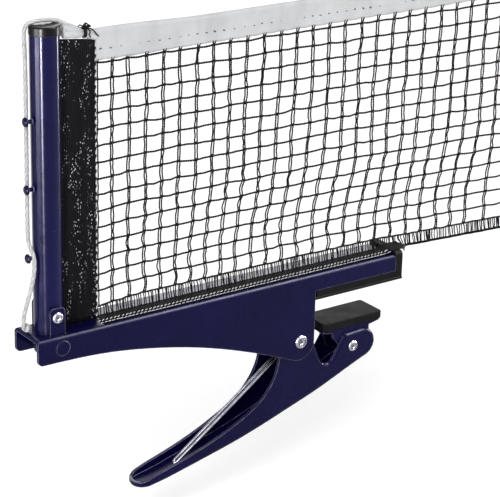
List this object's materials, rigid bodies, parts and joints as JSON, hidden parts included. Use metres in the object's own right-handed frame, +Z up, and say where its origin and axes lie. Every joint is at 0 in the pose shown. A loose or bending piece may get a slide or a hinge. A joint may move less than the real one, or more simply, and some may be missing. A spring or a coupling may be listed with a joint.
{
  "type": "table tennis net clamp",
  "caption": "Sprung clamp for a table edge with a post that holds the end of a table tennis net, with the first stretch of net.",
  "frame": {"origin": "on the underside of the upper jaw's pad, in the net's plane, where the table's edge stops against the flanges", "axes": "+X inwards over the table along the net, +Y across the clamp, +Z up"},
  "size_m": [0.3053, 0.025, 0.2396],
  "materials": {
    "navy_paint": "gloss",
    "pad_rubber": "matte",
    "cap_plastic": "gloss",
    "zinc": "satin",
    "spring_steel": "satin",
    "cord_white": "matte",
    "net_black": "matte",
    "tape_white": "matte",
    "sleeve_black": "matte",
    "rod_steel": "satin",
    "thread_black": "matte"
  },
  "bodies": {
    "clamp": {"bracket": "navy_paint", "upper_jaw_pad": "pad_rubber", "post_tube": "navy_paint", "post_saddle": "navy_paint", "post_cap": "cap_plastic", "cord_studs": "navy_paint", "ear_rivet": "zinc", "foot_pin": "navy_paint", "pivot_pin": "zinc", "pivot_bush": "zinc", "torsion_spring": "spring_steel", "net_cord": "cord_white", "cord_knot": "cord_white", "net_mesh": "net_black", "net_tape": "tape_white", "net_sleeve": "sleeve_black", "net_rod": "rod_steel", "net_hem": "net_black", "net_end_sleeve": "sleeve_black", "net_end_rod": "rod_steel", "tape_tie": "thread_black"},
    "lever": {"lever": "navy_paint", "jaw_pin": "zinc"},
    "jaw": {"jaw_plate": "navy_paint", "jaw_rubber": "pad_rubber"}
  },
  "joints": [
    {"name": "lever_pivot", "type": "hinge", "parent": "clamp", "child": "lever", "pos_m": [-0.0084, 0, -0.0204], "axis": [0, 1, 0], "range_deg": [-16.5, 30], "stiffness_Nm_per_rad": 0.8, "springref_deg": -68.75, "deforming": ["torsion_spring"]},
    {"name": "jaw_pad_swivel", "type": "hinge", "parent": "lever", "child": "jaw", "pos_m": [0.0264, 0, -0.0313], "axis": [0, 1, 0], "range_deg": [-5, 24]}
  ]
}
